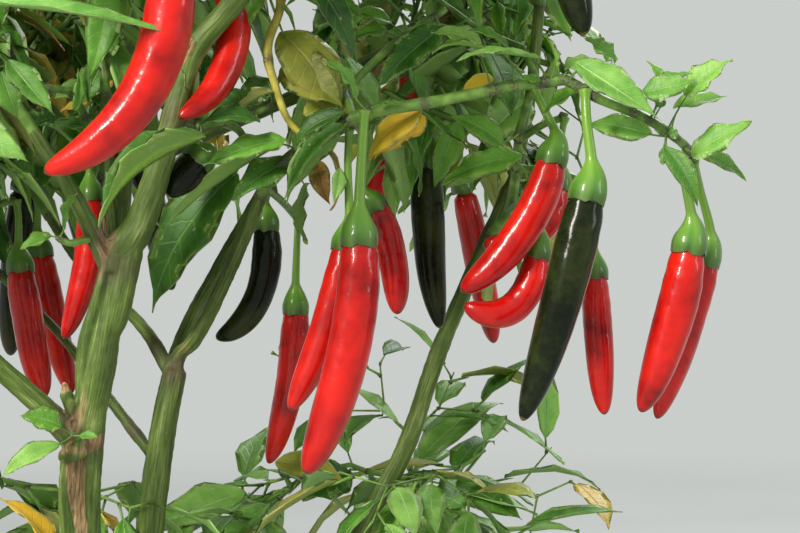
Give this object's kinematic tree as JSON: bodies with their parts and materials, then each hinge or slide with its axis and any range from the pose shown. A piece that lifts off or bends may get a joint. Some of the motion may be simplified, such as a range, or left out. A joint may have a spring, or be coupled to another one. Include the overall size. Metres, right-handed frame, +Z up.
{
  "type": "chilli pepper plant",
  "caption": "Bushy pepper plant with forking green stems, pointed leaves and slender tapering pods, green then red, hanging on thin stalks.",
  "frame": {"origin": "middle of the trunk's flat cut at ground level", "axes": "+Z up the plant, +X along its long fruiting branch, -Y towards the side that the picture shows"},
  "size_m": [0.4429, 0.3686, 0.5449],
  "materials": {
    "stem": "satin",
    "foliage": "satin",
    "red_fruit": "gloss",
    "green_fruit": "gloss"
  },
  "bodies": {
    "root": {"back_crown": "foliage", "back_stem": "stem", "cut_branch": "stem", "far_right_spray": "foliage", "fork_shoot": "foliage", "green_fruit_behind": "green_fruit", "green_fruit_centre": "green_fruit", "green_fruit_curved": "green_fruit", "green_fruit_small": "green_fruit", "green_fruit_top": "green_fruit", "inner_crown": "foliage", "inner_spray": "foliage", "knot_shoot": "foliage", "leader": "stem", "leader_crown": "foliage", "left_arm": "stem", "left_back": "foliage", "left_back_stem": "stem", "left_crown": "foliage", "left_inner": "foliage", "left_side_stem": "stem", "left_spray": "foliage", "left_stem": "stem", "left_thin_stem": "stem", "low_left": "foliage", "low_left_stem": "stem", "low_right": "foliage", "low_right_stem": "stem", "middle_left_arm": "stem", "middle_right_arm": "stem", "middle_stem": "stem", "red_fruit_behind": "red_fruit", "red_fruit_centre": "red_fruit", "red_fruit_edge": "red_fruit", "red_fruit_far": "red_fruit", "red_fruit_front": "red_fruit", "red_fruit_hooked": "red_fruit", "red_fruit_inner": "red_fruit", "red_fruit_left": "red_fruit", "red_fruit_left_back": "red_fruit", "red_fruit_left_far": "red_fruit", "red_fruit_low": "red_fruit", "red_fruit_right": "red_fruit", "red_fruit_right_far": "red_fruit", "red_fruit_slant": "red_fruit", "red_fruit_slant_far": "red_fruit", "red_fruit_top_far": "red_fruit", "red_fruit_upper": "red_fruit", "right_back": "foliage", "right_back_stem": "stem", "right_crown": "foliage", "right_spray": "foliage", "right_stem": "stem", "right_top": "foliage", "right_top_arm": "stem", "top_front": "foliage", "trunk": "stem", "upper_stem": "stem", "upright_arm": "stem", "upright_spray": "foliage"}
  },
  "joints": []
}
